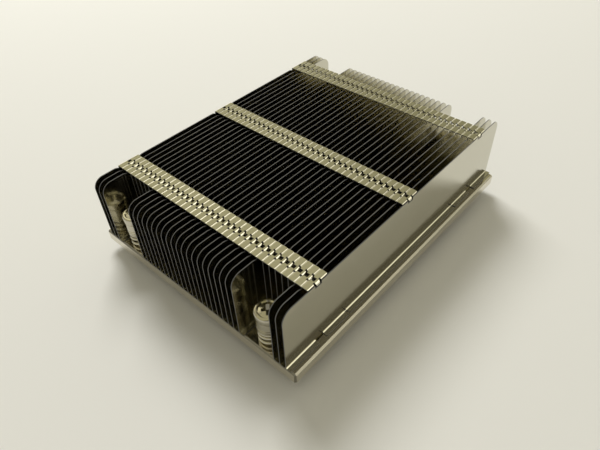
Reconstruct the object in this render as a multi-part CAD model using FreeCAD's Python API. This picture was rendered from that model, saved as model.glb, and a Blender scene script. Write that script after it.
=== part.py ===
"""Passive heatsink for a server processor.

A stack of thin folded fins stands on a flat base plate.  Each fin's top
flanges hook over the bend of the next fin, in three rows across the stack.
A sprung captive screw stands in a notch at each corner.

Millimetres.  X runs across the fins, Y along them, Z up.
The origin is the centre of the base plate's contact face.
"""

import FreeCAD, Part

import math
import os

Vec = FreeCAD.Vector
ORIGIN = Vec(0.0, 0.0, 0.0)
UP = Vec(0.0, 0.0, 1.0)

# ---- fin stack -------------------------------------------------------------
FIN_COUNT = 37
FIN_PITCH = 2.1
FIN_HEIGHT = 22.0
SHEET = 0.35
BEND_RADIUS = 0.45
CORNER_RADIUS = 3.4

# ---- rows of hooked flanges across the top ---------------------------------
BAND_WIDTH = 7.2
EDGE_DROP = 0.45
FLANGE_GAP = 0.04

# ---- hook on each top flange, and the window that it drops into ------------
HOOK_ROOT_WIDTH = 1.8
HOOK_TIP_WIDTH = 1.1
HOOK_REACH = 0.65
HOOK_SIDE_GAP = 0.4
HOOK_END_GAP = 0.08
WINDOW_WIDTH = 1.0
WINDOW_LENGTH = 0.85

# ---- foot flange of each fin -----------------------------------------------
FOOT_GAP = 0.35
FOOT_SLOT_WIDTH = 3.1
FOOT_NICK_WIDTH = 0.8
FOOT_NICK_OFFSET = 11.0

# ---- room that the fins leave round each screw -----------------------------
NOTCH_END_GAP = 0.7
NOTCH_SIDE_GAP = 1.5

# ---- base plate ------------------------------------------------------------
BASE_THICKNESS = 4.0
BASE_LEDGE = 2.85
BASE_CHAMFER = 0.5

# ---- captive screws --------------------------------------------------------
SCREW_SPACING_X = 56.0
SCREW_SPACING_Y = 94.0
SCREW_END_DISTANCE = 4.7
SHANK_RADIUS = 2.0
SHANK_HOLE_GAP = 0.3
TIP_BELOW_BASE = 3.4
TIP_CHAMFER = 0.5
CAP_RADIUS = 3.7
CAP_RIM_RADIUS = 3.4
CAP_RIM_HEIGHT = 0.6
CAP_HEIGHT = 2.4
BARREL_RADIUS = 3.5
BARREL_HEIGHT = 4.2
RECESS_WIDTH = 1.1
RECESS_SPAN = 4.4
RECESS_FLOOR_SPAN = 1.6
RECESS_DEPTH = 2.0
RECESS_DEGREES = 45.0

# ---- screw springs ---------------------------------------------------------
SPRING_HEIGHT = 4.9
SPRING_RADIUS = 3.4
WIRE_DIAMETER = 0.95
ACTIVE_TURNS = 2.0
END_TURNS = 0.5
WIRE_SIDES = 5
STATIONS_PER_TURN = 10

# ---- retaining rings -------------------------------------------------------
RING_THICKNESS = 0.6
RING_RADIUS = 3.2
RING_MOUTH_DEGREES = 70.0
GROOVE_DEPTH = 0.45
GROOVE_PLAY = 0.05
POCKET_DEPTH = 1.2
POCKET_GAP = 0.6

# ---- how finely small curves are drawn -------------------------------------
BEND_STEPS = 1
CORNER_STEPS = 5

# ---- sizes that follow -----------------------------------------------------
STACK_WIDTH = (FIN_COUNT - 1) * FIN_PITCH
FIN_LENGTH = SCREW_SPACING_Y + 2.0 * SCREW_END_DISTANCE
CUT_FIN_LENGTH = SCREW_SPACING_Y - 2.0 * (CAP_RADIUS + NOTCH_END_GAP)
BAND_SPACING = (CUT_FIN_LENGTH - BAND_WIDTH) / 2.0
FOOT_WIDTH = FIN_PITCH - FOOT_GAP
BASE_WIDTH = STACK_WIDTH + SHEET + 2.0 * BASE_LEDGE
FIN_TOP = BASE_THICKNESS + FIN_HEIGHT
EDGE_TOP = FIN_TOP - EDGE_DROP
BAND_CENTRES = (-BAND_SPACING, 0.0, BAND_SPACING)
TONGUE_TIP = FIN_PITCH + HOOK_REACH
OPENING_WIDTH = HOOK_ROOT_WIDTH + 2.0 * HOOK_SIDE_GAP
OPENING_REACH = HOOK_REACH + HOOK_END_GAP
HEAD_UNDERSIDE = BASE_THICKNESS + SPRING_HEIGHT
HEAD_TOP = HEAD_UNDERSIDE + BARREL_HEIGHT + CAP_HEIGHT
HOLE_RADIUS = SHANK_RADIUS + SHANK_HOLE_GAP
GROOVE_RADIUS = SHANK_RADIUS - GROOVE_DEPTH
RING_BORE = GROOVE_RADIUS + GROOVE_PLAY
RING_TOP = POCKET_DEPTH
RING_BOTTOM = RING_TOP - RING_THICKNESS
POCKET_RADIUS = RING_RADIUS + POCKET_GAP
COIL_RADIUS = SPRING_RADIUS - WIRE_DIAMETER / 2.0
CUTTER_MARGIN = 1.0

SCREW_PLACES = {
    "front_left": (-SCREW_SPACING_X / 2.0, -SCREW_SPACING_Y / 2.0),
    "front_right": (SCREW_SPACING_X / 2.0, -SCREW_SPACING_Y / 2.0),
    "rear_left": (-SCREW_SPACING_X / 2.0, SCREW_SPACING_Y / 2.0),
    "rear_right": (SCREW_SPACING_X / 2.0, SCREW_SPACING_Y / 2.0),
}


def polygon_face(points):
    """A flat face inside a closed run of straight edges."""
    return Part.Face(Part.makePolygon(list(points) + [points[0]]))


def box_between(low, high):
    """A box from its lowest corner to its highest."""
    size = Vec(*high) - Vec(*low)
    return Part.makeBox(size.x, size.y, size.z, Vec(*low))


def arc_points(centre, radius, start_degrees, steps):
    """Pairs of numbers along a quarter circle that starts at start_degrees."""
    points = []
    for index in range(steps + 1):
        angle = math.radians(start_degrees + 90.0 * index / steps)
        across = centre[0] + radius * math.cos(angle)
        along = centre[1] + radius * math.sin(angle)
        points.append((across, along))
    return points


# ---- fins ------------------------------------------------------------------
def folded_section(banded):
    """The bent sheet seen from its end: foot flange, wall and top flange.

    The wall's left face is at X = 0, and both flanges turn towards +X.
    """
    foot = BASE_THICKNESS
    corners = [
        (FOOT_WIDTH, foot),
        (FOOT_WIDTH, foot + SHEET),
        (SHEET, foot + SHEET),
    ]
    if banded:
        corners += [
            (SHEET, FIN_TOP - SHEET),
            (TONGUE_TIP, FIN_TOP - SHEET),
            (TONGUE_TIP, FIN_TOP),
        ]
        centre = (BEND_RADIUS, FIN_TOP - BEND_RADIUS)
        corners += arc_points(centre, BEND_RADIUS, 90.0, BEND_STEPS)
    else:
        corners += [(SHEET, EDGE_TOP), (0.0, EDGE_TOP)]
    centre = (BEND_RADIUS, foot + BEND_RADIUS)
    corners += arc_points(centre, BEND_RADIUS, 180.0, BEND_STEPS)
    return polygon_face([Vec(x, 0.0, z) for x, z in corners])


def edge_cutters(half_length):
    """Blocks that take the top edge down between the rows of flanges."""
    bounds = [-half_length - CUTTER_MARGIN]
    for centre in BAND_CENTRES:
        bounds += [centre - BAND_WIDTH / 2.0, centre + BAND_WIDTH / 2.0]
    bounds.append(half_length + CUTTER_MARGIN)
    left = -CUTTER_MARGIN
    right = TONGUE_TIP + CUTTER_MARGIN
    top = FIN_TOP + CUTTER_MARGIN
    cutters = []
    for low_y, high_y in zip(bounds[0::2], bounds[1::2]):
        cutters.append(box_between((left, low_y, EDGE_TOP), (right, high_y, top)))
    return cutters


def window_cutter(centre):
    """Opens the bend for the neighbour's hook, with a narrower window past it."""
    wide = OPENING_WIDTH / 2.0
    narrow = WINDOW_WIDTH / 2.0
    left = -CUTTER_MARGIN
    far = OPENING_REACH + WINDOW_LENGTH
    outline = [
        (left, -wide),
        (OPENING_REACH, -wide),
        (OPENING_REACH, -narrow),
        (far, -narrow),
        (far, narrow),
        (OPENING_REACH, narrow),
        (OPENING_REACH, wide),
        (left, wide),
    ]
    floor = FIN_TOP - 2.0 * SHEET
    face = polygon_face([Vec(x, centre + y, floor) for x, y in outline])
    return face.extrude(Vec(0.0, 0.0, 2.0 * SHEET + CUTTER_MARGIN))


def hook_trimmers(centre):
    """Trim a flange back to one pitch on both sides of its hook."""
    root_x = FIN_PITCH - FLANGE_GAP
    tip_x = TONGUE_TIP + CUTTER_MARGIN
    slope = (HOOK_ROOT_WIDTH - HOOK_TIP_WIDTH) / 2.0 / (TONGUE_TIP - root_x)
    root = HOOK_ROOT_WIDTH / 2.0
    tip = root - slope * (tip_x - root_x)
    edge = BAND_WIDTH / 2.0 + CUTTER_MARGIN
    floor = FIN_TOP - 2.0 * SHEET
    trimmers = []
    for side in (-1.0, 1.0):
        outline = [(root_x, root), (tip_x, tip), (tip_x, edge), (root_x, edge)]
        face = polygon_face([Vec(x, centre + side * y, floor) for x, y in outline])
        trimmers.append(face.extrude(Vec(0.0, 0.0, 4.0 * SHEET)))
    return trimmers


def corner_cutters(half_length):
    """Wedges that round the two top corners of a fin."""
    cutters = []
    centre = (half_length - CORNER_RADIUS, EDGE_TOP - CORNER_RADIUS)
    outline = arc_points(centre, CORNER_RADIUS, 0.0, CORNER_STEPS)
    outline.append((centre[0], EDGE_TOP + CUTTER_MARGIN))
    outline.append((half_length + CUTTER_MARGIN, EDGE_TOP + CUTTER_MARGIN))
    outline.append((half_length + CUTTER_MARGIN, centre[1]))
    for side in (-1.0, 1.0):
        face = polygon_face([Vec(-SHEET, side * y, z) for y, z in outline])
        cutters.append(face.extrude(Vec(3.0 * SHEET, 0.0, 0.0)))
    return cutters


def make_fin(length, banded, rounded):
    """One fin with its wall's left face at X = 0, centred along Y."""
    half = length / 2.0
    section = folded_section(banded)
    section.translate(Vec(0.0, -half, 0.0))
    fin = section.extrude(Vec(0.0, length, 0.0))
    cutters = []
    if banded:
        cutters += edge_cutters(half)
        for centre in BAND_CENTRES:
            cutters.append(window_cutter(centre))
            cutters += hook_trimmers(centre)
    if rounded:
        cutters += corner_cutters(half)
    return fin.cut(cutters).removeSplitter()


def outer_foot_cutters():
    """Lock slots and nicks in the foot flange that lies on the ledge."""
    places = []
    for side in (-1.0, 1.0):
        places.append((side * BAND_SPACING, FOOT_SLOT_WIDTH))
        places.append((side * (BAND_SPACING - FOOT_NICK_OFFSET), FOOT_NICK_WIDTH))
    low_z = BASE_THICKNESS - CUTTER_MARGIN
    high_z = BASE_THICKNESS + SHEET + CUTTER_MARGIN
    right = FOOT_WIDTH + CUTTER_MARGIN
    cutters = []
    for centre, width in places:
        low = (BEND_RADIUS, centre - width / 2.0, low_z)
        high = (right, centre + width / 2.0, high_z)
        cutters.append(box_between(low, high))
    return cutters


def stops_short(wall_x):
    """Whether a fin with its wall at wall_x is in the way of the screws."""
    from_screw = abs(abs(wall_x) - SCREW_SPACING_X / 2.0)
    return from_screw < CAP_RADIUS + NOTCH_SIDE_GAP


def build_fins():
    """Every fin of the stack, by name."""
    full = make_fin(FIN_LENGTH, True, True)
    short = make_fin(CUT_FIN_LENGTH, True, False)
    last = make_fin(FIN_LENGTH, False, True).cut(outer_foot_cutters())
    fins = {}
    for index in range(FIN_COUNT):
        wall_x = index * FIN_PITCH - STACK_WIDTH / 2.0
        if index == FIN_COUNT - 1:
            fin = last.copy()
        elif stops_short(wall_x):
            fin = short.copy()
        else:
            fin = full.copy()
        fin.translate(Vec(wall_x - SHEET / 2.0, 0.0, 0.0))
        fins["fin_%02d" % (index + 1)] = fin
    return fins


# ---- base plate ------------------------------------------------------------
def build_base_plate():
    """Flat plate with a hole for each screw and a pocket for its ring."""
    half_x = BASE_WIDTH / 2.0
    half_y = FIN_LENGTH / 2.0
    plate = box_between((-half_x, -half_y, 0.0), (half_x, half_y, BASE_THICKNESS))
    plate = plate.makeChamfer(BASE_CHAMFER, plate.Edges)
    cutters = []
    for x, y in SCREW_PLACES.values():
        start = Vec(x, y, -CUTTER_MARGIN)
        hole_depth = BASE_THICKNESS + 2.0 * CUTTER_MARGIN
        pocket_depth = POCKET_DEPTH + CUTTER_MARGIN
        cutters.append(Part.makeCylinder(HOLE_RADIUS, hole_depth, start))
        cutters.append(Part.makeCylinder(POCKET_RADIUS, pocket_depth, start))
    return plate.cut(cutters)


# ---- captive screws --------------------------------------------------------
def turned(outline, degrees):
    """A solid turned about the Z axis from (radius, height) corners."""
    face = polygon_face([Vec(radius, 0.0, height) for radius, height in outline])
    return face.revolve(ORIGIN, UP, degrees)


def cross_recess():
    """The tapered cross that a driver fits."""
    top = HEAD_TOP + CUTTER_MARGIN
    floor = HEAD_TOP - RECESS_DEPTH
    widening = (RECESS_SPAN - RECESS_FLOOR_SPAN) / RECESS_DEPTH
    top_span = RECESS_SPAN + widening * CUTTER_MARGIN
    outline = [
        (-top_span / 2.0, top),
        (top_span / 2.0, top),
        (RECESS_FLOOR_SPAN / 2.0, floor),
        (-RECESS_FLOOR_SPAN / 2.0, floor),
    ]
    face = polygon_face([Vec(x, -RECESS_WIDTH / 2.0, z) for x, z in outline])
    arm = face.extrude(Vec(0.0, RECESS_WIDTH, 0.0))
    other = arm.copy()
    other.rotate(ORIGIN, UP, 90.0)
    cross = arm.fuse(other)
    cross.rotate(ORIGIN, UP, RECESS_DEGREES)
    return cross


def make_screw():
    """Tall cross-recess screw with a groove for its ring."""
    cap_low = HEAD_TOP - CAP_HEIGHT
    groove_low = RING_BOTTOM - GROOVE_PLAY
    groove_high = RING_TOP + GROOVE_PLAY
    body = turned(
        [
            (0.0, -TIP_BELOW_BASE),
            (SHANK_RADIUS - TIP_CHAMFER, -TIP_BELOW_BASE),
            (SHANK_RADIUS, TIP_CHAMFER - TIP_BELOW_BASE),
            (SHANK_RADIUS, groove_low),
            (GROOVE_RADIUS, groove_low),
            (GROOVE_RADIUS, groove_high),
            (SHANK_RADIUS, groove_high),
            (SHANK_RADIUS, HEAD_UNDERSIDE),
            (BARREL_RADIUS, HEAD_UNDERSIDE),
            (BARREL_RADIUS, cap_low),
            (CAP_RADIUS, cap_low),
            (CAP_RADIUS, HEAD_TOP - CAP_RIM_HEIGHT),
            (CAP_RIM_RADIUS, HEAD_TOP),
            (0.0, HEAD_TOP),
        ],
        360.0,
    )
    return body.cut(cross_recess())


# ---- springs ---------------------------------------------------------------
def coil_height(turns_done):
    """Height of the wire's centre after so many turns from the bottom."""
    low = BASE_THICKNESS + WIRE_DIAMETER / 2.0
    rise = SPRING_HEIGHT - WIRE_DIAMETER
    done = min(max(turns_done - END_TURNS, 0.0), ACTIVE_TURNS)
    return low + rise * done / ACTIVE_TURNS


def make_spring():
    """Compression spring with closed ends, lofted along its coil."""
    turns = ACTIVE_TURNS + 2.0 * END_TURNS
    count = int(round(turns * STATIONS_PER_TURN))
    wire_radius = WIRE_DIAMETER / 2.0
    sections = []
    for index in range(count + 1):
        turns_done = turns * index / count
        angle = 2.0 * math.pi * turns_done
        height = coil_height(turns_done)
        corners = []
        for side in range(WIRE_SIDES):
            around = 2.0 * math.pi * side / WIRE_SIDES + math.pi / 2.0
            radius = COIL_RADIUS + wire_radius * math.cos(around)
            x = radius * math.cos(angle)
            y = radius * math.sin(angle)
            corners.append(Vec(x, y, height + wire_radius * math.sin(around)))
        sections.append(Part.makePolygon(corners + [corners[0]]))
    return Part.makeLoft(sections, True, True)


# ---- retaining rings -------------------------------------------------------
def make_ring():
    """Open ring that snaps into the screw's groove."""
    ring = turned(
        [
            (RING_BORE, RING_BOTTOM),
            (RING_RADIUS, RING_BOTTOM),
            (RING_RADIUS, RING_TOP),
            (RING_BORE, RING_TOP),
        ],
        360.0 - RING_MOUTH_DEGREES,
    )
    ring.rotate(ORIGIN, UP, RING_MOUTH_DEGREES / 2.0)
    return ring


def build_fasteners():
    """Screw, spring and ring for each corner, by name."""
    models = {
        "screw": make_screw(),
        "spring": make_spring(),
        "retaining_ring": make_ring(),
    }
    pieces = {}
    for corner, (x, y) in SCREW_PLACES.items():
        for name, model in models.items():
            piece = model.copy()
            piece.translate(Vec(x, y, 0.0))
            pieces["%s_%s" % (name, corner)] = piece
    return pieces


def main():
    """Build every piece and write one STEP file for each."""
    os.makedirs("parts", exist_ok=True)
    pieces = build_fins()
    pieces["base_plate"] = build_base_plate()
    pieces.update(build_fasteners())
    for name in sorted(pieces):
        pieces[name].exportStep("parts/%s.step" % name)
    print("pieces:", len(pieces))


main()
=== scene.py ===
"""Looks of a passive heatsink for a server processor.

The CAD solids are the fixed frame.  In their places this script makes the
row of folded fins with round bends and drawn-down hooks, the turned and
threaded captive screws and their coil springs.  It gives every piece its
finish, and sets up a pale floor with soft light.

The named sizes are in millimetres and the meshes in metres.  X runs across
the fins, Y along them, Z up from the contact face.
"""

import logging
import math
from collections.abc import Iterable, Mapping, Sequence
from dataclasses import dataclass
from enum import Enum

import bpy
from mathutils import Matrix, Vector
from mathutils.geometry import delaunay_2d_cdt


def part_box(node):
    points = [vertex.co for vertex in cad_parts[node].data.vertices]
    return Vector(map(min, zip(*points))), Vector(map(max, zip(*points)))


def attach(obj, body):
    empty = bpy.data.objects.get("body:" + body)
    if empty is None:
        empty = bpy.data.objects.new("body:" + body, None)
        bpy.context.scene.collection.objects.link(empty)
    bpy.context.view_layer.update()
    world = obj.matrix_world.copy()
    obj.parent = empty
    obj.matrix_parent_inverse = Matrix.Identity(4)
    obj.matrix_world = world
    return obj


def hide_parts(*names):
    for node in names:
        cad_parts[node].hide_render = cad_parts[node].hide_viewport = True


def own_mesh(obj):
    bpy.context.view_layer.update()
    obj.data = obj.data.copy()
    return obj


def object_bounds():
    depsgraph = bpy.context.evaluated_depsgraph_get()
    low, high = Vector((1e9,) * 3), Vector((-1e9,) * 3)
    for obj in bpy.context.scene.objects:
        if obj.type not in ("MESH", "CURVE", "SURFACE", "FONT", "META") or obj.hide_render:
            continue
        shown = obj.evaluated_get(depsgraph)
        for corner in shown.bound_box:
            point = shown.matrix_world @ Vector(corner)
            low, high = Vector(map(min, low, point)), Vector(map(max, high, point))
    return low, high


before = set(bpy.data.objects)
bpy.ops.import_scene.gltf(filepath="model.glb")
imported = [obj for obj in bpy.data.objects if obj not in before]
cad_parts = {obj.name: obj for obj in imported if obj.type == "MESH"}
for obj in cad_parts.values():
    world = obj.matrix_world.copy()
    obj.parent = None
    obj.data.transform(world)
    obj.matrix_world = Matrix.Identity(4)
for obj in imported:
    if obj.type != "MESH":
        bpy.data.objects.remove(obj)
CAD_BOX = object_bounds()

log = logging.getLogger("heatsink")

MM = 0.001
FULL_TURN = 2.0 * math.pi
QUARTER_TURN = math.pi / 2.0
BODY = "heatsink"

Pair = tuple[float, float]
Triple = tuple[float, float, float]
Box = tuple[Sequence[float], Sequence[float]]


class Corner(Enum):
    """The four corners that hold a captive screw."""

    FRONT_LEFT = "front_left"
    FRONT_RIGHT = "front_right"
    REAR_LEFT = "rear_left"
    REAR_RIGHT = "rear_right"


class FinKind(Enum):
    """The blanks that the fins are stamped from."""

    FIRST = "first"
    FULL = "full"
    SHORT = "short"
    LAST = "last"


class Stretch(Enum):
    """The flats and bends of a fin, from its foot's free edge to its hook."""

    FOOT = "foot"
    FOOT_BEND = "foot bend"
    WALL = "wall"
    TOP_BEND = "top bend"
    FLANGE = "flange"
    CURL = "curl"
    LIP = "lip"
    HOOK_BEND = "hook bend"
    HOOK = "hook"


def shares(steps: int) -> list[float]:
    """Evenly spaced numbers from 0 to 1."""
    return [index / steps for index in range(steps + 1)]


# ---- node trees ------------------------------------------------------------
@dataclass(frozen=True)
class Value:
    """A number flowing between nodes, with which sums can be written."""

    graph: "NodeGraph"
    socket: bpy.types.NodeSocket

    def _math(self, operation: str, *terms: "Value | float") -> "Value":
        """Add a Math node.

        Args:
            operation: What the node works out.
            terms: The numbers that it takes, in order.

        Returns:
            Its result.
        """
        numbered = dict(enumerate(terms))
        node = self.graph.add("ShaderNodeMath", {"operation": operation}, numbered)
        return self.graph.value(node)

    def __add__(self, other: "Value | float") -> "Value":
        """Sum."""
        return self._math("ADD", self, other)

    __radd__ = __add__

    def __sub__(self, other: "Value | float") -> "Value":
        """Difference."""
        return self._math("SUBTRACT", self, other)

    def __rsub__(self, other: float) -> "Value":
        """Difference from a plain number."""
        return self._math("SUBTRACT", other, self)

    def __mul__(self, other: "Value | float") -> "Value":
        """Product."""
        return self._math("MULTIPLY", self, other)

    __rmul__ = __mul__

    def __truediv__(self, other: "Value | float") -> "Value":
        """Quotient."""
        return self._math("DIVIDE", self, other)

    def __abs__(self) -> "Value":
        """Size without sign."""
        return self._math("ABSOLUTE", self)

    def below(self, limit: "Value | float") -> "Value":
        """1 where this is less than a limit, else 0."""
        return self._math("LESS_THAN", self, limit)

    def larger(self, other: "Value | float") -> "Value":
        """The larger of two numbers."""
        return self._math("MAXIMUM", self, other)

    def clipped(self, low: float, high: "Value | float") -> "Value":
        """This number kept between two limits."""
        return self._math("MINIMUM", self.larger(low), high)

    def cosine(self) -> "Value":
        """Cosine of an angle in radians."""
        return self._math("COSINE", self)

    def sine(self) -> "Value":
        """Sine of an angle in radians."""
        return self._math("SINE", self)

    def rise(self, start: float, end: float) -> "Value":
        """Add a smooth step.

        Args:
            start: Where the step starts.
            end: Where it ends, above or below the start.

        Returns:
            0 before the start and 1 past the end.
        """
        node = self.graph.add(
            "ShaderNodeMapRange",
            {"interpolation_type": "SMOOTHSTEP"},
            {"Value": self, "From Min": start, "From Max": end},
        )
        return self.graph.value(node)


class NodeGraph:
    """Adds nodes to one tree and joins their sockets."""

    def __init__(self, tree: bpy.types.NodeTree) -> None:
        """Start on a tree, which may already hold nodes."""
        self.tree = tree

    @classmethod
    def cleared(cls, owner: bpy.types.Material | bpy.types.World) -> "NodeGraph":
        """Start on emptied shader nodes.

        Args:
            owner: The material or world that they belong to.

        Returns:
            The graph.
        """
        owner.use_nodes = True
        owner.node_tree.nodes.clear()
        return cls(owner.node_tree)

    def add(
        self,
        kind: str,
        settings: Mapping[str, object] | None = None,
        inputs: Mapping[str | int, object] | None = None,
    ) -> bpy.types.Node:
        """Add one node.

        Args:
            kind: The node's type name.
            settings: Properties to set before the inputs.
            inputs: What to feed its sockets, by their name or number.

        Returns:
            The new node.
        """
        node = self.tree.nodes.new(kind)
        for name, setting in (settings or {}).items():
            setattr(node, name, setting)
        for key, source in (inputs or {}).items():
            self.feed(node.inputs[key], source)
        return node

    def feed(self, socket: bpy.types.NodeSocket, source: object) -> None:
        """Give an input socket its value.

        Args:
            socket: The input.
            source: What is linked: a number flowing between nodes, an output
                socket, or a node, for its first output.  Or a plain value,
                which is set; a colour is given as its RGB.
        """
        if isinstance(source, bpy.types.Node):
            source = source.outputs[0]
        elif isinstance(source, Value):
            source = source.socket
        if isinstance(source, bpy.types.NodeSocket):
            self.tree.links.new(source, socket)
        else:
            plain = (*source, 1.0) if socket.type == "RGBA" else source
            socket.default_value = plain

    def value(self, node: bpy.types.Node, output: str | int = 0) -> Value:
        """An output of a node, ready for sums."""
        return Value(self, node.outputs[output])

    def parts(self, vector: object) -> list[Value]:
        """The X, Y and Z of a vector's socket or node."""
        node = self.add("ShaderNodeSeparateXYZ", inputs={"Vector": vector})
        return [self.value(node, axis) for axis in "XYZ"]

    def noise(self, place: object, scale: float, detail: float) -> Value:
        """A noise from 0 to 1, read at some place."""
        inputs = {"Vector": place, "Scale": scale, "Detail": detail}
        return self.value(self.add("ShaderNodeTexNoise", inputs=inputs))

    def blend(
        self, share: Value, first: object, second: object
    ) -> bpy.types.NodeSocket:
        """Mix two colours.

        Args:
            share: 0 for the first colour, 1 for the second.
            first: A colour's RGB, or the socket that gives it.
            second: The same for the other colour.

        Returns:
            The socket of the mixed colour.
        """
        inputs = {"Factor": share, 6: first, 7: second}
        return self.add("ShaderNodeMix", {"data_type": "RGBA"}, inputs).outputs[2]

    def surface(self, inputs: Mapping[str, object]) -> None:
        """End a material with one shader, fed by name."""
        shader = self.add("ShaderNodeBsdfPrincipled", inputs=inputs)
        self.add("ShaderNodeOutputMaterial", inputs={"Surface": shader})


class PieceTree(NodeGraph):
    """A geometry node tree whose inputs are the named sizes of a piece."""

    socket_kinds = {
        int: "NodeSocketInt",
        float: "NodeSocketFloat",
        tuple: "NodeSocketVector",
        bpy.types.Material: "NodeSocketMaterial",
        bpy.types.Object: "NodeSocketObject",
    }

    def __init__(self, name: str, sizes: Mapping[str, object]) -> None:
        """Start the tree.

        Args:
            name: Name of the tree.
            sizes: What it will be given, by the name of the input.
        """
        super().__init__(bpy.data.node_groups.new(name, "GeometryNodeTree"))
        new_socket = self.tree.interface.new_socket
        self.identifiers = {}
        for label, size in sizes.items():
            kind = self.socket_kinds[type(size)]
            socket = new_socket(label, in_out="INPUT", socket_type=kind)
            self.identifiers[label] = socket.identifier
        new_socket("Geometry", in_out="OUTPUT", socket_type="NodeSocketGeometry")
        self.given = self.add("NodeGroupInput").outputs

    def size(self, name: str) -> Value:
        """One of the given sizes, ready for sums."""
        return Value(self, self.given[name])

    def end(self, geometry: object) -> None:
        """End the tree with real geometry that carries its finish.

        Args:
            geometry: The node or socket that gives what the tree has made.
        """
        real = self.add("GeometryNodeRealizeInstances", inputs={0: geometry})
        inputs = {"Geometry": real, "Material": self.given["Finish"]}
        dressed = self.add("GeometryNodeSetMaterial", inputs=inputs)
        self.add("NodeGroupOutput", inputs={0: dressed})

    def make(self, name: str, sizes: Mapping[str, object]) -> bpy.types.Object:
        """Make a piece with its own plain mesh.

        Args:
            name: Name of the piece.
            sizes: What the tree is given, by the name of the input.

        Returns:
            The piece, without modifiers.
        """
        piece = add_object(name, bpy.data.meshes.new(name))
        modifier = piece.modifiers.new(self.tree.name, "NODES")
        modifier.node_group = self.tree
        for label, size in sizes.items():
            modifier[self.identifiers[label]] = size
        final_mesh(piece)
        return piece


# ---- finishes --------------------------------------------------------------
@dataclass(frozen=True)
class MetalFinish:
    """A bare or plated metal, with fine grain and slow colour changes.

    The grain is a noise stretched along one axis, as rolling or turning
    leaves it.  Sheared edges are duller, where the mesh marks them.  The
    chamfers of a block get a darker colour: painted shade that dims their
    highlights.
    """

    name: str
    colour: Triple
    dull_colour: Triple
    roughness: float
    roughness_spread: float = 0.06
    grain_scale: Triple = (900.0, 900.0, 900.0)
    grain_detail: float = 3.0
    grain_depth_mm: float = 0.002
    cloud_scale: float = 60.0
    cloud_detail: float = 2.0
    edge_colour: Triple | None = None
    edge_roughness: float = 0.45
    edge_metallic: float = 0.4
    # painted shade on a block's chamfers, which dims their highlights
    chamfer_shade_colour: Triple = (0.27, 0.255, 0.21)
    chamfer_roughness: float = 0.36
    chamfer_mm: float = 0.49

    def material(self, block: Box | None = None) -> bpy.types.Material:
        """Build the node tree.

        Args:
            block: The lowest and highest corners, in metres, of a block whose
            chamfers get a darker colour, painted shade that dims their highlights.

        Returns:
            The finished material.
        """
        material = bpy.data.materials.new(self.name)
        graph = NodeGraph.cleared(material)
        place = graph.add("ShaderNodeTexCoord").outputs["Object"]
        scale = {"Vector": place, "Scale": self.grain_scale}
        stretched = graph.add("ShaderNodeMapping", inputs=scale)
        grain = graph.noise(stretched, 1.0, self.grain_detail)
        clouds = graph.noise(place, self.cloud_scale, self.cloud_detail)
        tint = graph.blend(clouds, self.colour, self.dull_colour)
        roughness = self.roughness + self.roughness_spread * (grain - 0.5)
        metallic: Value | float = 1.0
        if self.edge_colour is not None:
            mark = graph.add("ShaderNodeAttribute", {"attribute_name": "sheared"})
            cut = graph.value(mark, "Fac")
            tint = graph.blend(cut, tint, self.edge_colour)
            roughness = roughness + cut * (self.edge_roughness - self.roughness)
            metallic = 1.0 - cut * (1.0 - self.edge_metallic)
        if block is not None:
            # painted shade: the chamfers' colour is darkened to dim their highlights
            chamfer_shade_mask = self._on_chamfer(graph.parts(place), block)
            tint = graph.blend(chamfer_shade_mask, tint, self.chamfer_shade_colour)
            roughness = roughness + chamfer_shade_mask * (self.chamfer_roughness - self.roughness)
        depth = self.grain_depth_mm * MM
        bump = graph.add("ShaderNodeBump", inputs={"Height": grain, "Distance": depth})
        graph.surface(
            {
                "Base Color": tint,
                "Metallic": metallic,
                "Roughness": roughness,
                "Normal": bump,
            }
        )
        return material

    def _on_chamfer(self, place: Sequence[Value], block: Box) -> Value:
        """Tell the chamfers of a block from its sides.

        Args:
            place: X, Y and Z in object coordinates.
            block: The block's lowest and highest corners.

        Returns:
            1 where the surface is near two or more sides of the block.
        """
        near: Value | float = 0.0
        for spot, low, high in zip(place, *block):
            from_middle = abs(spot - (low + high) / 2.0)
            inner = (high - low) / 2.0 - self.chamfer_mm * MM
            near = (1.0 - from_middle.below(inner)) + near
        return 1.0 - near.below(1.5)


FIN_FINISH = MetalFinish(
    name="bright_fin_sheet",
    colour=(0.66, 0.64, 0.55),
    dull_colour=(0.60, 0.58, 0.49),
    roughness=0.14,
    grain_scale=(3000.0, 90.0, 3000.0),
    grain_depth_mm=0.0005,
    edge_colour=(0.130, 0.130, 0.135),
)
PLATE_FINISH = MetalFinish(
    name="satin_plated_plate",
    colour=(0.74, 0.70, 0.60),
    dull_colour=(0.66, 0.62, 0.52),
    roughness=0.08,
    roughness_spread=0.05,
    grain_scale=(2400.0, 120.0, 120.0),
    grain_depth_mm=0.0008,
)
SCREW_FINISH = MetalFinish(
    name="bright_nickel_plate",
    colour=(0.58, 0.55, 0.46),
    dull_colour=(0.51, 0.48, 0.39),
    roughness=0.13,
    grain_scale=(250.0, 250.0, 2600.0),
)
SPRING_FINISH = MetalFinish(
    name="nickel_plated_wire",
    colour=(0.60, 0.57, 0.48),
    dull_colour=(0.52, 0.49, 0.40),
    roughness=0.20,
    roughness_spread=0.08,
)
RING_FINISH = MetalFinish(
    name="oiled_spring_steel",
    colour=(0.30, 0.29, 0.27),
    dull_colour=(0.22, 0.21, 0.20),
    roughness=0.32,
    roughness_spread=0.12,
)


# ---- meshes ----------------------------------------------------------------
def add_object(name: str, data: bpy.types.ID) -> bpy.types.Object:
    """Put something in the scene, at the origin.

    Args:
        name: Name of the object.
        data: Its mesh, lamp or camera.

    Returns:
        The new object.
    """
    added = bpy.data.objects.new(name, data)
    bpy.context.scene.collection.objects.link(added)
    return added


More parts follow.
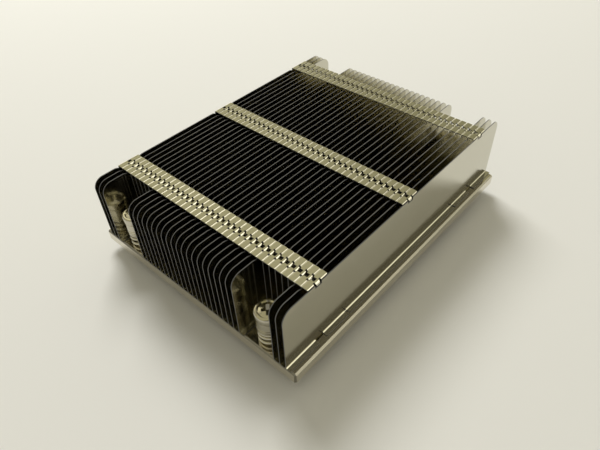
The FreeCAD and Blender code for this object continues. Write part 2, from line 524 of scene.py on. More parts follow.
def smooth(mesh: bpy.types.Mesh, crease_degrees: float = 35.0) -> None:
    """Shade a mesh smooth, creased where its faces turn by more than this."""
    mesh.polygons.foreach_set("use_smooth", [True] * len(mesh.polygons))
    mesh.set_sharp_from_angle(angle=math.radians(crease_degrees))


def millimetre_mesh(
    name: str, points: Iterable[Triple], faces: Sequence[Sequence[int]]
) -> bpy.types.Mesh:
    """Make a smooth mesh with creases.

    Args:
        name: Name of the mesh.
        points: Corners in millimetres.
        faces: Corner numbers of each face, anticlockwise from outside.

    Returns:
        The mesh, in metres.
    """
    mesh = bpy.data.meshes.new(name)
    metres = [tuple(MM * part for part in point) for point in points]
    mesh.from_pydata(metres, [], faces)
    smooth(mesh)
    mesh.validate()
    return mesh


def final_mesh(piece: bpy.types.Object) -> None:
    """Turn what a piece's modifiers make into its own plain mesh.

    Args:
        piece: The object, which loses its modifiers.
    """
    evaluated = piece.evaluated_get(bpy.context.evaluated_depsgraph_get())
    mesh = bpy.data.meshes.new_from_object(evaluated)
    piece.modifiers.clear()
    old, piece.data = piece.data, mesh
    bpy.data.meshes.remove(old)


def discard(helpers: Iterable[bpy.types.Object]) -> None:
    """Remove objects from the scene, with their meshes.

    Args:
        helpers: The objects.
    """
    for helper in helpers:
        mesh = helper.data
        bpy.data.objects.remove(helper)
        bpy.data.meshes.remove(mesh)


def dress(mesh: bpy.types.Mesh, finish: bpy.types.Material) -> None:
    """Give a mesh one finish in place of what it has."""
    mesh.materials.clear()
    mesh.materials.append(finish)


def screw_axis(corner: Corner) -> Pair:
    """Where a screw stands, from its CAD solid, in millimetres."""
    low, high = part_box(f"screw_{corner.value}")
    return ((low[0] + high[0]) / 2.0 / MM, (low[1] + high[1]) / 2.0 / MM)


# ---- fins ------------------------------------------------------------------
def shifted(outline: Iterable[Pair], along: float) -> list[Pair]:
    """An outline moved along the fin."""
    return [(y + along, at) for y, at in outline]


def mirrored(outline: Sequence[Pair]) -> list[Pair]:
    """The other half of an outline, walked on from its end."""
    return [(-y, at) for y, at in reversed(outline)]


def inside(point: Pair, loops: list[list[Pair]]) -> bool:
    """Whether a point lies within the outline and outside the holes.

    Args:
        point: The point.
        loops: The outline and the holes.

    Returns:
        True inside the sheet.
    """
    x, y = point
    crossings = 0
    for loop in loops:
        for (ax, ay), (bx, by) in zip(loop, loop[1:] + loop[:1]):
            if (ay > y) != (by > y):
                crossings += x < ax + (bx - ax) * (y - ay) / (by - ay)
    return crossings % 2 == 1


@dataclass(frozen=True)
class FoldedPath:
    """The bent sheet seen from its end.

    A place on the sheet is given by its distance along the middle of the
    sheet, from the free edge of the foot, up the wall, to the hook's tip.
    """

    foot_width: float
    low: float
    high: float
    pitch: float
    sheet: float = 0.28
    foot_radius: float = 0.55
    top_radius: float = 0.36
    bend_flats: int = 8
    lip_gap: float = 0.03
    curl_radius: float = 0.18
    lip_degrees: float = 46.0
    lip_flat: float = 0.2
    hook_radius: float = 0.9
    hook_degrees: float = 66.0
    curl_flats: int = 3
    margin: float = 0.03
    rounding: float = 0.003

    def stretches(self) -> dict[Stretch, tuple[float, float, int]]:
        """The sheet's flats and bends, one after the other.

        The lip's lower corner stays clear of the next fin.

        Returns:
            Length and radius of each, along the middle of the sheet, and
            the number of flats that a bend is made of.
        """
        half = self.sheet / 2.0
        foot, top = self.foot_radius - half, self.top_radius - half
        rise = self.high - self.low - self.foot_radius - self.top_radius
        lip = math.radians(self.lip_degrees)
        hook = math.radians(self.hook_degrees) - lip
        reach = self.pitch - self.lip_gap - half * math.sin(lip)
        slope = self.curl_radius * math.sin(lip) + self.lip_flat * math.cos(lip)
        curled = (self.curl_radius * lip, self.curl_radius, self.curl_flats)
        hooked = (self.hook_radius * hook, self.hook_radius, self.curl_flats)
        return {
            Stretch.FOOT: (self.foot_width - self.foot_radius, 0.0, 0),
            Stretch.FOOT_BEND: (foot * QUARTER_TURN, foot, self.bend_flats),
            Stretch.WALL: (rise, 0.0, 0),
            Stretch.TOP_BEND: (top * QUARTER_TURN, top, self.bend_flats),
            Stretch.FLANGE: (reach - slope - self.top_radius, 0.0, 0),
            Stretch.CURL: curled,
            Stretch.LIP: (self.lip_flat, 0.0, 0),
            Stretch.HOOK_BEND: hooked,
            Stretch.HOOK: (math.inf, 0.0, 0),
        }

    def end_of(self, last: Stretch) -> float:
        """Where a stretch ends.

        Args:
            last: The stretch.

        Returns:
            The distance of its end along the sheet.
        """
        total = 0.0
        for stretch, (length, _, _) in self.stretches().items():
            total += length
            if stretch is last:
                break
        return total

    def at_height(self, height: float) -> float:
        """The place on an unbent wall at some height."""
        return self.end_of(Stretch.FOOT_BEND) + height - self.low - self.foot_radius

    def at_reach(self, reach: float) -> float:
        """The place on the top flange this far across from the wall's face."""
        return self.end_of(Stretch.TOP_BEND) + reach - self.top_radius

    def fold_lines(self) -> list[float]:
        """Where the flat blank has lines, so that it can bend.

        Returns:
            Places along the sheet: the edges of each bend's flats, and a
            line close to either side that keeps the flats beside it flat.
        """
        lines = []
        for stretch, (length, _, flats) in self.stretches().items():
            if flats:
                end = self.end_of(stretch)
                start = end - length
                edges = [start + length * share for share in shares(flats)]
                lines += [start - self.margin, *edges, end + self.margin]
        return lines

    def place(self, at: float, folded: bool) -> tuple[Pair, Pair]:
        """Fold one place of the sheet.

        Args:
            at: Distance along the sheet.
            folded: False where the wall goes on straight past the top bend.

        Returns:
            Its (x, z) on the middle of the sheet, and the direction of the
            sheet's outer side there.
        """
        x, z, turned = self.foot_width, self.low + self.sheet / 2.0, 0.0
        for stretch, (length, radius, _) in self.stretches().items():
            endless = stretch is Stretch.WALL and not folded
            step = at if endless else min(at, length)
            at -= step
            if radius:
                after = turned + step / radius
                x += radius * (math.sin(turned) - math.sin(after))
                z += radius * (math.cos(turned) - math.cos(after))
                turned = after
            else:
                x -= step * math.cos(turned)
                z += step * math.sin(turned)
        return (x, z), (-math.sin(turned), -math.cos(turned))


@dataclass(frozen=True)
class FinStack:
    """The row of folded fins, hooked to each other across the top."""

    path: FoldedPath
    count: int
    first_wall: float
    length: float
    short_length: float
    screw_across: float
    screw_room: float = 5.2
    corner_radius: float = 3.4
    corner_steps: int = 12
    edge_drop: float = 0.45
    dip_length: float = 1.5
    dip_depth: float = 0.5
    dip_steps: int = 5
    band_width: float = 7.2
    tab_corner: float = 0.2
    hook_root: float = 1.6
    hook_tip: float = 1.0
    hook_length: float = 0.65
    relief_width: float = 0.48
    relief_depth: float = 0.42
    notch_gap: float = 0.4
    opening_drop: float = 1.4
    opening_width: float = 2.1
    opening_reach: float = 0.42
    window_width: float = 1.15
    window_length: float = 1.0
    foot_slot_width: float = 3.1
    foot_slot_rise: float = 0.25
    foot_nick_width: float = 0.8
    foot_nick_offset: float = 11.0
    foot_nick_share: float = 0.42
    same_corner: float = 1e-6

    @classmethod
    def from_frame(cls) -> "FinStack":
        """Take the places and main sizes from the CAD solids.

        Returns:
            The row, ready to build.
        """
        boxes = [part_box(name) for name in cls.node_names()]
        first_low, first_high = boxes[0]
        last_low, last_high = boxes[-1]
        lengths = [high[1] - low[1] for low, high in boxes]
        path = FoldedPath(
            foot_width=(last_high[0] - last_low[0]) / MM,
            low=first_low[2] / MM,
            high=first_high[2] / MM,
            pitch=(boxes[1][0][0] - first_low[0]) / MM,
        )
        return cls(
            path=path,
            count=len(boxes),
            first_wall=first_low[0] / MM,
            length=max(lengths) / MM,
            short_length=min(lengths) / MM,
            screw_across=screw_axis(Corner.FRONT_RIGHT)[0],
        )

    @staticmethod
    def node_names() -> list[str]:
        """The names of the CAD fins, in order."""
        return sorted(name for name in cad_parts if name.startswith("fin_"))

    @property
    def top_edge(self) -> float:
        """Where the plain top edge lies on the blank."""
        return self.path.at_height(self.path.high - self.edge_drop)

    @property
    def opening_start(self) -> float:
        """Where the hole for the neighbour's hook starts on the wall."""
        return self.path.at_height(self.path.high - self.opening_drop)

    def band_centres(self) -> Triple:
        """Where the rows of flanges lie along the fins."""
        outer = (self.short_length - self.band_width) / 2.0
        return (outer, 0.0, -outer)

    def is_folded(self, along: float) -> bool:
        """Whether a place along the fin lies on one of its flanges."""
        reach = self.band_width / 2.0 + self.path.rounding
        return any(abs(along - centre) <= reach for centre in self.band_centres())

    def flange_outline(self, centre: float, half: float) -> list[Pair]:
        """One flange with its hook, walked from its +Y side to its -Y side.

        Args:
            centre: Where the flange's middle lies along the fin.
            half: Half of the fin's length.

        Returns:
            Its part of the outline, and the top edge's curves down to it.
        """
        side = self.band_width / 2.0
        lip = self.path.end_of(Stretch.LIP)
        root = self.hook_root / 2.0
        relief = root + self.relief_width
        floor = lip - self.relief_depth
        tab = [
            (side, lip - self.tab_corner),
            (side - self.tab_corner, lip),
            (relief, lip),
            (relief, floor),
            (root, floor),
            (self.hook_tip / 2.0, lip + self.hook_length),
        ]
        dip = []
        for share in shares(self.dip_steps):
            drop = self.dip_depth * (1.0 - math.cos(share * QUARTER_TURN))
            dip.append((side + self.dip_length * (1.0 - share), self.top_edge - drop))
        end = half - self.path.margin
        before = dip if centre + side < end else []
        after = mirrored(dip) if centre - side > -end else []
        return shifted([*before, *tab, *mirrored(tab), *after], centre)

    def hook_opening(self, hooked: bool) -> list[Pair]:
        """The hole in the bend for the neighbour's hook, and its window.

        Args:
            hooked: False for the first fin, which takes no hook and has the
                window alone.

        Returns:
            The hole's outline about the middle of the flange.
        """
        narrow = self.window_width / 2.0
        shelf = self.path.at_reach(self.opening_reach)
        end = self.path.at_reach(self.opening_reach + self.window_length)
        half = [(narrow, shelf), (narrow, end)]
        if hooked:
            wide = self.opening_width / 2.0
            half = [(wide, self.opening_start), (wide, shelf), *half]
        return half + mirrored(half)

    def hook_notch(self) -> list[Pair]:
        """The notch in the last fin's plain edge that a hook lies in.

        Returns:
            Its part of the outline, about the middle of the hook.
        """
        side = self.hook_root / 2.0 + self.notch_gap
        half = [(side, self.top_edge), (side, self.opening_start)]
        return half + mirrored(half)

    def foot_outline(self, half: float, slotted: bool) -> list[Pair]:
        """The foot's free edge from -Y to +Y, with its slots if it has them.

        Args:
            half: Half of the fin's length.
            slotted: Whether this is the last fin, whose foot has slots.

        Returns:
            The foot's part of the outline.
        """
        cuts = []
        if slotted:
            slot = self.band_centres()[0]
            nick = slot - self.foot_nick_offset
            bend = self.path.end_of(Stretch.FOOT)
            wall = self.path.end_of(Stretch.FOOT_BEND)
            through = wall + self.foot_slot_rise
            partly = bend + (wall - bend) * self.foot_nick_share
            for side in (-1.0, 1.0):
                cuts.append((side * slot, self.foot_slot_width / 2.0, through))
                cuts.append((side * nick, self.foot_nick_width / 2.0, partly))
        outline = [(-half, 0.0)]
        for middle, reach, depth in sorted(cuts):
            cut = [(reach, depth), (reach, 0.0)]
            outline += shifted(mirrored(cut) + cut, middle)
        return [*outline, (half, 0.0)]

    def corner_outline(self, half: float) -> list[Pair]:
        """The round top corner at +Y, from the end up to the top edge.

        Args:
            half: Half of the fin's length.

        Returns:
            The corner's part of the outline.
        """
        points = []
        for share in shares(self.corner_steps):
            angle = share * QUARTER_TURN
            inwards = self.corner_radius * (1.0 - math.cos(angle))
            down = self.corner_radius * (1.0 - math.sin(angle))
            points.append((half - inwards, self.top_edge - down))
        return points

    def blank(self, kind: FinKind) -> list[list[Pair]]:
        """The flat blank of one kind of fin.

        Args:
            kind: Which blank.

        Returns:
            Its outline, then its holes, as (along, across) loops.
        """
        short, last = kind is FinKind.SHORT, kind is FinKind.LAST
        half = (self.short_length if short else self.length) / 2.0
        corner = [] if short else self.corner_outline(half)
        outline = self.foot_outline(half, last) + corner
        holes = []
        for centre in self.band_centres():
            if last:
                outline += shifted(self.hook_notch(), centre)
            else:
                outline += self.flange_outline(centre, half)
                opening = self.hook_opening(kind is not FinKind.FIRST)
                holes.append(shifted(opening, centre))
        return [outline + mirrored(corner), *holes]

    def blank_triangles(
        self, loops: list[list[Pair]]
    ) -> tuple[list[Pair], list[tuple[int, ...]]]:
        """Cut a flat blank into triangles along its fold lines.

        Args:
            loops: The outline and the holes.

        Returns:
            Corners of the blank, and anticlockwise triangles.
        """
        corners, edges = [], []
        for loop in loops:
            numbers = [len(corners) + index for index in range(len(loop))]
            edges += zip(numbers, numbers[1:] + numbers[:1])
            corners += loop
        for at in self.path.fold_lines():
            edges.append((len(corners), len(corners) + 1))
            corners += [(-self.length, at), (self.length, at)]
        vectors = [Vector(corner) for corner in corners]
        found = delaunay_2d_cdt(vectors, edges, [], 0, self.same_corner)
        points = [tuple(point) for point in found[0]]
        triangles = []
        for face in found[2]:
            (ax, ay), (bx, by), (cx, cy) = (points[corner] for corner in face)
            if inside(((ax + bx + cx) / 3.0, (ay + by + cy) / 3.0), loops):
                turn = (bx - ax) * (cy - ay) - (by - ay) * (cx - ax)
                triangles.append(tuple(face) if turn > 0.0 else tuple(reversed(face)))
        return points, triangles

    def fin_mesh(self, kind: FinKind) -> bpy.types.Mesh:
        """Fold one blank and give it its thickness.

        Args:
            kind: Which blank.

        Returns:
            A closed mesh, with its wall's left face at x = 0.  Sheared
            faces carry the attribute "sheared", but not on the rubbed lips.
        """
        points, triangles = self.blank_triangles(self.blank(kind))
        used = sorted({corner for triangle in triangles for corner in triangle})
        number = {corner: index for index, corner in enumerate(used)}
        half = self.path.sheet / 2.0
        outer, inner = [], []
        for along, at in (points[corner] for corner in used):
            (x, z), (nx, nz) = self.path.place(at, self.is_folded(along))
            outer.append((x + half * nx, along, z + half * nz))
            inner.append((x - half * nx, along, z - half * nz))
        faces, edges = [], []
        total = len(used)
        for triangle in triangles:
            a, b, c = (number[corner] for corner in triangle)
            faces += [(a + total, b + total, c + total), (c, b, a)]
            edges += [(a, b), (b, c), (c, a)]
        shear = [0.0] * len(faces)
        worn = self.path.end_of(Stretch.LIP) - self.tab_corner - self.path.margin
        shared = set(edges)
        for a, b in edges:
            if (b, a) not in shared:
                faces.append((b + total, a + total, a, b))
                nearest = min(points[used[a]][1], points[used[b]][1])
                shear.append(0.0 if nearest > worn else 1.0)
        mesh = millimetre_mesh(f"{kind.value}_fin", outer + inner, faces)
        marks = mesh.attributes.new("sheared", "FLOAT", "FACE")
        marks.data.foreach_set("value", shear)
        return mesh

    def row_tree(self, sizes: Mapping[str, object]) -> PieceTree:
        """The node tree that sets the fins out in their row.

        A fin is short where its wall comes too near a screw.

        Args:
            sizes: What the tree will be given.

        Returns:
            The tree.
        """
        tree = PieceTree("fin_row", sizes)
        start, step = (
            tree.add("ShaderNodeCombineXYZ", inputs={"X": tree.size(name)})
            for name in ("First Wall", "Fin Pitch")
        )
        count = tree.size("Fin Count")
        line = {"Count": count, "Start Location": start, "Offset": step}
        row = tree.add("GeometryNodeMeshLine", {"mode": "OFFSET"}, line)
        index = tree.value(tree.add("GeometryNodeInputIndex"))
        across = tree.parts(tree.add("GeometryNodeInputPosition"))[0]
        wall = across + self.path.sheet / 2.0 * MM
        from_screw = abs(abs(wall) - tree.size("Screw Across"))
        short = from_screw.below(tree.size("Screw Room"))
        first = index.below(0.5)
        not_last = index.below(count - 1.5)
        chosen = {
            FinKind.FIRST: first,
            FinKind.FULL: (1.0 - short) * not_last * (1.0 - first),
            FinKind.SHORT: short * not_last,
            FinKind.LAST: 1.0 - not_last,
        }
        together = tree.add("GeometryNodeJoinGeometry")
        for kind, wanted in chosen.items():
            given = {"Object": tree.given[f"{kind.value} fin"]}
            model = tree.add("GeometryNodeObjectInfo", inputs=given)
            fins = {
                "Points": row,
                "Selection": wanted,
                "Instance": model.outputs["Geometry"],
            }
            placed = tree.add("GeometryNodeInstanceOnPoints", inputs=fins)
            tree.feed(together.inputs[0], placed)
        tree.end(together)
        return tree

    def build(self, finish: bpy.types.Material) -> bpy.types.Object:
        """Make the whole row as one piece, in place of the CAD fins.

        Args:
            finish: Material of the sheet.

        Returns:
            The finished piece.
        """
        models = {
            f"{kind.value} fin": add_object(f"{kind.value}_fin", self.fin_mesh(kind))
            for kind in FinKind
        }
        sizes = {
            **models,
            "Fin Count": self.count,
            "Fin Pitch": self.path.pitch * MM,
            "First Wall": self.first_wall * MM,
            "Screw Across": self.screw_across * MM,
            "Screw Room": self.screw_room * MM,
            "Finish": finish,
        }
        piece = self.row_tree(sizes).make("fin_stack", sizes)
        discard(models.values())
        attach(piece, BODY)
        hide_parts(*self.node_names())
        return piece


# ---- captive screws --------------------------------------------------------
@dataclass(frozen=True)
class CaptiveScrews:
    """The four tall cross-recess screws.

    A profile is given as points, each so far inwards from a radius and so far
    up from a height.
    """

    low: float
    high: float
    segments: int = 64
    shank_radius: float = 2.0
    thread_top: float = -0.1
    thread_pitch: float = 0.7
    thread_depth: float = 0.36
    thread_fade: float = 0.5
    thread_rows_per_turn: int = 8
    tip_length: float = 0.5
    tip_radius: float = 1.4
    groove_radius: float = 1.55
    groove_low: float = 0.55
    groove_high: float = 1.25
    underside: float = 8.9
    barrel_radius: float = 3.5
    barrel_bevel: tuple[Pair, ...] = ((0.25, 0.0), (0.075, 0.075), (0.0, 0.25))
    band_heights: tuple[float, ...] = (9.75, 10.45)
    band_profile: tuple[Pair, ...] = ((0.0, -0.12), (0.14, 0.0), (0.0, 0.12))
    shoulder: tuple[Pair, ...] = ((0.0, -0.05), (0.05, 0.0), (0.3, 0.0), (0.3, 0.22))
    cap_low: float = 13.1
    cap_radius: float = 3.7
    cap_gap: float = 0.22
    cap_bevel: tuple[Pair, ...] = ((0.15, 0.0), (0.04, 0.05), (0.0, 0.15))
    rim_radius: float = 3.2
    rim_height: float = 0.5
    rim_steps: int = 6
    dish_radius: float = 2.85
    dish_foot_radius: float = 2.5
    dish_depth: float = 0.35
    dome_rise: float = 0.25
    dome_steps: int = 6
    recess_width: float = 0.95
    recess_span: float = 3.9
    recess_floor_span: float = 1.6
    recess_depth: float = 1.3
    recess_degrees: float = 45.0
    recess_margin: float = 1.0

    @classmethod
    def from_frame(cls) -> "CaptiveScrews":
        """Take the heights from the CAD solids."""
        low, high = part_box(f"screw_{Corner.FRONT_RIGHT.value}")
        return cls(low=low[2] / MM, high=high[2] / MM)

    def threaded_rows(self) -> list[Triple]:
        """The tip and the thread, which fades out at both ends.

        Returns:
            (radius, height, thread depth) of each ring of corners.
        """
        rows = [(self.tip_radius, self.low, 0.0)]
        start = self.low + self.tip_length
        step = self.thread_pitch / self.thread_rows_per_turn
        for index in range(int((self.thread_top - start) / step) + 1):
            height = start + index * step
            from_end = min(height - start, self.thread_top - height)
            share = min(max(from_end / self.thread_fade, 0.0), 1.0)
            rows.append((self.shank_radius, height, self.thread_depth * share))
        return rows

    def plain_rows(self) -> list[Pair]:
        """The outline from the ring's groove to the crown.

        Returns:
            (radius, height) of each ring of corners.
        """
        cap = self.cap_low + self.cap_gap
        profiles = [
            (self.barrel_radius, self.underside, self.barrel_bevel),
            *((self.barrel_radius, at, self.band_profile) for at in self.band_heights),
            (self.barrel_radius, self.cap_low, self.shoulder),
            (self.cap_radius, cap, self.cap_bevel),
        ]
        rows = [
            (self.shank_radius, self.groove_low),
            (self.groove_radius, self.groove_low),
            (self.groove_radius, self.groove_high),
            (self.shank_radius, self.groove_high),
            (self.shank_radius, self.underside),
        ]
        for radius, height, profile in profiles:
            rows += [(radius - inwards, height + up) for inwards, up in profile]
        for share in shares(self.rim_steps):
            angle = share * QUARTER_TURN
            out = (self.cap_radius - self.rim_radius) * math.cos(angle)
            down = self.rim_height * (1.0 - math.sin(angle))
            rows.append((self.rim_radius + out, self.high - down))
        rows.append((self.dish_radius, self.high))
        for share in shares(self.dome_steps)[:-1]:
            rise = self.dome_rise * (1.0 - (1.0 - share) ** 2)
            height = self.high - self.dish_depth + rise
            rows.append((self.dish_foot_radius * (1.0 - share), height))
        return rows

    def turned_mesh(self) -> bpy.types.Mesh:
        """Turn the outline, with the thread as a helical ridge.

        Returns:
            The screw without its recess, standing on the Z axis.
        """
        points, faces = [], []
        plain = [(radius, height, 0.0) for radius, height in self.plain_rows()]
        count = self.segments
        for radius, height, depth in self.threaded_rows() + plain:
            for share in shares(count)[:-1]:
                phase = (height / self.thread_pitch - share) % 1.0
                across = radius - depth * (1.0 - abs(2.0 * phase - 1.0))
                x, y = math.cos(FULL_TURN * share), math.sin(FULL_TURN * share)
                points.append((across * x, across * y, height))
        last = len(points) - count
        for row in range(0, last, count):
            for index in range(count):
                a, b = row + index, row + (index + 1) % count
                faces.append((a, b, b + count, a + count))
        faces += [tuple(reversed(range(count))), tuple(range(last, last + count))]
        return millimetre_mesh("screw", points, faces)

    def recess_arm(self, degrees: float) -> bpy.types.Object:
        """One tapered bar of the cross that is sunk into the crown.

        Args:
            degrees: Its turn about the Z axis.

        Returns:
            The bar, a little higher than the crown.
        """
        widening = (self.recess_span - self.recess_floor_span) / self.recess_depth
        span = self.recess_span + widening * self.recess_margin
        ends = (
            (self.high - self.recess_depth, self.recess_floor_span),
            (self.high + self.recess_margin, span),
        )
        corners = [
            (sx * span / 2.0, sy * self.recess_width / 2.0, height)
            for height, span in ends
            for sx, sy in ((-1, -1), (1, -1), (1, 1), (-1, 1))
        ]
        sides = [(i, (i + 1) % 4, (i + 1) % 4 + 4, i + 4) for i in range(4)]
        faces = [(3, 2, 1, 0), (4, 5, 6, 7), *sides]
        mesh = millimetre_mesh("recess_arm", corners, faces)
        mesh.transform(Matrix.Rotation(math.radians(degrees), 4, "Z"))
        return add_object("recess_arm", mesh)

    def model(self) -> bpy.types.Mesh:
        """The finished screw, standing on the origin's axis.

        Returns:
            Its mesh, with the cross cut into the crown.
        """
        body = add_object("screw_model", self.turned_mesh())
        arms = [self.recess_arm(self.recess_degrees + turn) for turn in (0.0, 90.0)]
        for arm in arms:
            cut = body.modifiers.new("recess", "BOOLEAN")
            cut.operation = "DIFFERENCE"
            cut.solver = "EXACT"
            cut.object = arm
        final_mesh(body)
        discard(arms)
        mesh = body.data
        bpy.data.objects.remove(body)
        smooth(mesh)
        return mesh

    def build(self, finish: bpy.types.Material) -> list[bpy.types.Object]:
        """Stand a screw in each corner.

        Args:
            finish: Material of the plating.

        Returns:
            The four pieces.
        """
        model = self.model()
        dress(model, finish)
        pieces = []
        for corner in Corner:
            x, y = screw_axis(corner)
            mesh = model.copy()
            mesh.transform(Matrix.Translation((x * MM, y * MM, 0.0)))
            piece = add_object(f"captive_screw_{corner.value}", mesh)
            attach(piece, f"screw_{corner.value}")
            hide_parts(f"screw_{corner.value}")
            pieces.append(piece)
        bpy.data.meshes.remove(model)
        return pieces


# ---- springs ---------------------------------------------------------------
@dataclass(frozen=True)
class ScrewSprings:
    """The coil spring under each screw's head, with closed ends."""

    low: float
    high: float
    outer_radius: float = 3.4
    wire: float = 0.95
    active_turns: float = 2.0
    end_turns: float = 0.5
    stations: int = 145
    wire_sides: int = 14
    crease_degrees: float = 50.0
    pressed_share: float = 0.61

    @classmethod
    def from_frame(cls) -> "ScrewSprings":
        """Take the space between base plate and screw head."""
        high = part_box(f"spring_{Corner.FRONT_RIGHT.value}")[1][2]
        return cls(low=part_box("base_plate")[1][2] / MM, high=high / MM)

    def coil_tree(self, sizes: Mapping[str, object]) -> PieceTree:
        """The node tree that winds the wire.

        Args:
            sizes: What the tree will be given.

        Returns:
            The tree.
        """
        tree = PieceTree("coil", sizes)
        line = tree.add("GeometryNodeCurvePrimitiveLine")
        count = {"Curve": line, "Count": tree.size("Stations")}
        stepped = tree.add("GeometryNodeResampleCurve", inputs=count)
        share = tree.value(tree.add("GeometryNodeSplineParameter"), "Factor")
        active, end = tree.size("Active Turns"), tree.size("End Turns")
        turns = share * (active + 2.0 * end)
        angle = turns * FULL_TURN
        risen = (turns - end).clipped(0.0, active) / active
        radius = tree.size("Coil Radius")
        spot = tree.add(
            "ShaderNodeCombineXYZ",
            inputs={
                "X": radius * angle.cosine(),
                "Y": radius * angle.sine(),
                "Z": tree.size("Low") + tree.size("Rise") * risen,
            },
        )
        moved = {0: spot, 1: tree.given["Axis"]}
        on_axis = tree.add("ShaderNodeVectorMath", {"operation": "ADD"}, moved)
        wound = tree.add(
            "GeometryNodeSetPosition", inputs={"Geometry": stepped, "Position": on_axis}
        )
        round_wire = {
            "Resolution": tree.size("Wire Sides"),
            "Radius": tree.size("Wire Radius"),
        }
        section = tree.add(
            "GeometryNodeCurvePrimitiveCircle", {"mode": "RADIUS"}, round_wire
        )
        swept = tree.add(
            "GeometryNodeCurveToMesh",
            inputs={"Curve": wound, "Profile Curve": section, "Fill Caps": True},
        )
        tree.end(swept)
        return tree

    def sizes(self, axis: Triple, finish: bpy.types.Material) -> dict[str, object]:
        """What the tree is given for one spring.

        Args:
            axis: The foot of the spring's axis, in metres.
            finish: Material of the wire.

        Returns:
            The sizes by the name of the input.
        """
        return {
            "Low": (self.low + self.wire / 2.0) * MM,
            "Rise": (self.high - self.low - self.wire) * MM,
            "Coil Radius": (self.outer_radius - self.wire / 2.0) * MM,
            "Wire Radius": self.wire / 2.0 * MM,
            "Active Turns": self.active_turns,
            "End Turns": self.end_turns,
            "Axis": axis,
            "Stations": self.stations,
            "Wire Sides": self.wire_sides,
            "Finish": finish,
        }

    def build(self, finish: bpy.types.Material) -> list[bpy.types.Object]:
        """Wind a spring at each corner.

        Args:
            finish: Material of the wire.

        Returns:
            The four pieces.
        """
        tree = self.coil_tree(self.sizes((0.0, 0.0, 0.0), finish))
        pieces = []
        for corner in Corner:
            x, y = screw_axis(corner)
            sizes = self.sizes((x * MM, y * MM, 0.0), finish)
            piece = tree.make(f"coil_spring_{corner.value}", sizes)
            smooth(piece.data, self.crease_degrees)
            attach(piece, BODY)
            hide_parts(f"spring_{corner.value}")
            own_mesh(piece)
            pieces.append(piece)
        return pieces


# ---- pieces that keep their CAD shape --------------------------------------
@dataclass(frozen=True)
class PlainPieces:
    """CAD solids whose shape is right, and which only need a finish."""

    names: tuple[str, ...]

    def dressed(self, finish: bpy.types.Material) -> list[bpy.types.Object]:
        """Give the solids their finish.

        Args:
            finish: The material.

        Returns:
            The solids.
        """
        pieces = [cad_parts[name] for name in self.names]
        for piece in pieces:
            dress(piece.data, finish)
        return pieces


@dataclass(frozen=True)
class BasePlate(PlainPieces):
    """The plate that the fins stand on."""

    names: tuple[str, ...] = ("base_plate",)

    def build(self) -> list[bpy.types.Object]:
        """Dress the plate, with painted shade on its chamfers to dim their highlights."""
        return self.dressed(PLATE_FINISH.material(block=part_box(self.names[0])))


@dataclass(frozen=True)
class RetainingRings(PlainPieces):
    """The rings that keep the screws in the plate."""

    names: tuple[str, ...] = tuple(f"retaining_ring_{spot.value}" for spot in Corner)

    def build(self) -> list[bpy.types.Object]:
        """Dress the rings."""
        return self.dressed(RING_FINISH.material())


# ---- studio ----------------------------------------------------------------
@dataclass(frozen=True)
class SoftLamp:
    """A square area lamp, aimed at the origin and not mirrored by metal."""

    name: str
    azimuth: float
    elevation: float
    distance: float
    size: float
    power: float
    colour: Triple

    def build(self) -> None:
        """Hang the lamp and aim it."""
        around = math.radians(self.azimuth)
        up = math.radians(self.elevation)
        flat, rise = math.cos(up), math.sin(up)
        direction = Vector((flat * math.cos(around), flat * math.sin(around), rise))
        light = bpy.data.lights.new(self.name, "AREA")
        light.size = self.size
        light.energy = self.power
        light.color = self.colour
        lamp = add_object(self.name, light)
        lamp.visible_glossy = False
        turned = direction.to_track_quat("Z", "Y").to_matrix().to_4x4()
        lamp.matrix_world = Matrix.Translation(direction * self.distance) @ turned


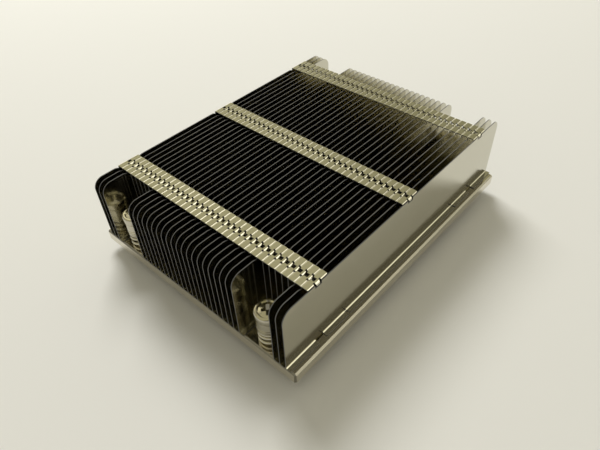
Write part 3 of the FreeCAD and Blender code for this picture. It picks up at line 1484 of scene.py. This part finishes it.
@dataclass(frozen=True)
class Studio:
    """Floor, light and camera.

    Each edge in the mirrored room is where it starts and ends, as a part of a
    direction's length.
    """

    floor_level: float
    floor_half: float = 3000.0
    floor_roughness: float = 0.7
    floor_colour: Triple = (0.83, 0.83, 0.79)
    camera_at: Triple = (90.8, -100.4, 121.4)
    looks_along: Triple = (-0.4984, 0.5276, -0.6880)
    camera_up: Triple = (-0.4387, 0.5310, 0.7250)
    focal_length: float = 31.97
    sensor_width: float = 36.0
    clip: Pair = (0.005, 20.0)
    even_light: Triple = (0.39, 0.37, 0.305)
    wall_colour: Triple = (0.84, 0.83, 0.79)
    warm_room: Triple = (0.52, 0.49, 0.31)
    dim_room: Triple = (0.13, 0.12, 0.09)
    front_room: Triple = (0.45, 0.44, 0.40)
    bright_room: Triple = (2.0, 1.93, 1.58)
    warm_back: Triple = (0.33, 0.31, 0.185)
    bright_back: Triple = (1.4, 1.34, 1.04)
    low_edge: Pair = (0.47, 0.30)
    side_edge: Pair = (0.44, 0.68)
    right_edge: Pair = (0.0, 0.35)
    behind_edge: Pair = (-0.1, 0.3)
    back_edge: Pair = (0.45, 0.80)
    light_bounces: int = 16
    key: SoftLamp = SoftLamp("key", 150.0, 48.0, 1.3, 0.55, 12.8, (1.0, 0.99, 0.975))

    def floor(self) -> None:
        """A pale table top under the screw tips."""
        half, level = self.floor_half, self.floor_level
        square = ((-half, -half), (half, -half), (half, half), (-half, half))
        corners = [(x, y, level) for x, y in square]
        mesh = millimetre_mesh("floor", corners, [(0, 1, 2, 3)])
        material = bpy.data.materials.new("pale_table")
        NodeGraph.cleared(material).surface(
            {"Base Color": self.floor_colour, "Roughness": self.floor_roughness}
        )
        mesh.materials.append(material)
        add_object("floor", mesh)

    def sky(self) -> None:
        """Even soft light, and the room that polished metal mirrors.

        The mirrored room is bright low down behind the object and at its
        right, warm at its upper left and dim between the two, and it gets
        dimmer towards the back.  Behind the floor the camera sees a plain
        pale wall.
        """
        world = bpy.data.worlds.new("studio")
        bpy.context.scene.world = world
        world.cycles.sampling_method = "NONE"
        graph = NodeGraph.cleared(world)
        direction = graph.add("ShaderNodeTexCoord").outputs["Generated"]
        across, along, up = graph.parts(direction)
        back = along.rise(*self.back_edge)
        warm = graph.blend(back, self.warm_room, self.warm_back)
        bright = graph.blend(back, self.bright_room, self.bright_back)
        upper = graph.blend(across.rise(*self.right_edge), warm, self.dim_room)
        behind = along.rise(*self.behind_edge)
        lower = graph.blend(behind, self.front_room, bright)
        lit = up.rise(*self.low_edge).larger(across.rise(*self.side_edge))
        mirrored_room = graph.blend(lit, upper, lower)
        rays = graph.add("ShaderNodeLightPath").outputs
        shader = graph.add("ShaderNodeBackground", inputs={"Color": self.even_light})
        for ray, colour in (
            ("Is Glossy Ray", mirrored_room),
            ("Is Camera Ray", self.wall_colour),
        ):
            other = graph.add("ShaderNodeBackground", inputs={"Color": colour})
            mix = {0: rays[ray], 1: shader, 2: other}
            shader = graph.add("ShaderNodeMixShader", inputs=mix)
        graph.add("ShaderNodeOutputWorld", inputs={"Surface": shader})

    def camera(self) -> None:
        """The camera, a little rolled, looking down on the near corner."""
        lens = bpy.data.cameras.new("camera")
        lens.lens = self.focal_length
        lens.sensor_width = self.sensor_width
        lens.clip_start, lens.clip_end = self.clip
        back = -Vector(self.looks_along).normalized()
        right = Vector(self.camera_up).cross(back).normalized()
        turned = Matrix((right, back.cross(right), back)).transposed().to_4x4()
        camera = add_object("camera", lens)
        camera.matrix_world = Matrix.Translation(Vector(self.camera_at) * MM) @ turned
        bpy.context.scene.camera = camera

    def build(self) -> None:
        """Set up everything that isn't part of the object."""
        scene = bpy.context.scene
        scene.view_settings.view_transform = "Standard"
        scene.cycles.max_bounces = self.light_bounces
        scene.cycles.glossy_bounces = self.light_bounces
        self.camera()
        self.floor()
        self.sky()
        self.key.build()


def main() -> None:
    """Build the studio and every piece, and report them."""
    logging.basicConfig(level=logging.INFO, format="%(name)s: %(message)s")
    Studio(floor_level=CAD_BOX[0][2] / MM).build()
    pieces = [
        *BasePlate().build(),
        FinStack.from_frame().build(FIN_FINISH.material()),
        *CaptiveScrews.from_frame().build(SCREW_FINISH.material()),
        *ScrewSprings.from_frame().build(SPRING_FINISH.material()),
        *RetainingRings().build(),
    ]
    for piece in pieces:
        log.info("%s: %d faces", piece.name, len(piece.data.polygons))


if __name__ == "__main__":
    main()
